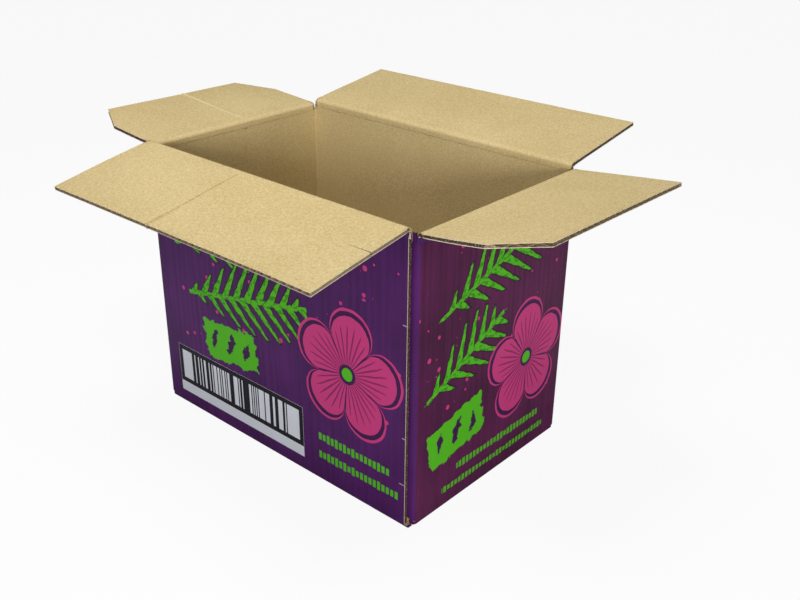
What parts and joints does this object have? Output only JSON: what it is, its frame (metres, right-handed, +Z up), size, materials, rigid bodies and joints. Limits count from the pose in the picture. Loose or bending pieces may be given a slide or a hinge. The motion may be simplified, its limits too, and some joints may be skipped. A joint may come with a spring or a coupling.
{
  "type": "single wall cardboard box",
  "caption": "Open slotted corrugated carton with hinged top flaps, glued base, side glue joint and flutes open at the cut edges.",
  "frame": {"origin": "centre of the base, on the surface that the carton stands on", "axes": "+X along the long side, towards the end panel with the glue tab; +Y towards the back panel; +Z up through the open top"},
  "size_m": [0.443, 0.3468, 0.2418],
  "materials": {
    "board": "matt kraft inside, printed purple outside"
  },
  "bodies": {
    "carton": {"carton_body": "board"},
    "front": {"front_flap": "board"},
    "back": {"back_flap": "board"},
    "left": {"left_flap": "board"},
    "right": {"right_flap": "board"}
  },
  "joints": [
    {"name": "front_flap_crease", "type": "hinge", "parent": "carton", "child": "front", "pos_m": [0, -0.0893, 0.2256], "axis": [-1, 0, 0], "range_deg": [-60.2, 189.8]},
    {"name": "back_flap_crease", "type": "hinge", "parent": "carton", "child": "back", "pos_m": [0, 0.0893, 0.2256], "axis": [1, 0, 0], "range_deg": [-79.4, 170.6]},
    {"name": "left_flap_crease", "type": "hinge", "parent": "carton", "child": "left", "pos_m": [-0.1368, 0, 0.2223], "axis": [0, 1, 0], "range_deg": [-73.9, 176.1]},
    {"name": "right_flap_crease", "type": "hinge", "parent": "carton", "child": "right", "pos_m": [0.1368, 0, 0.2223], "axis": [0, -1, 0], "range_deg": [-76.5, 173.5]}
  ]
}
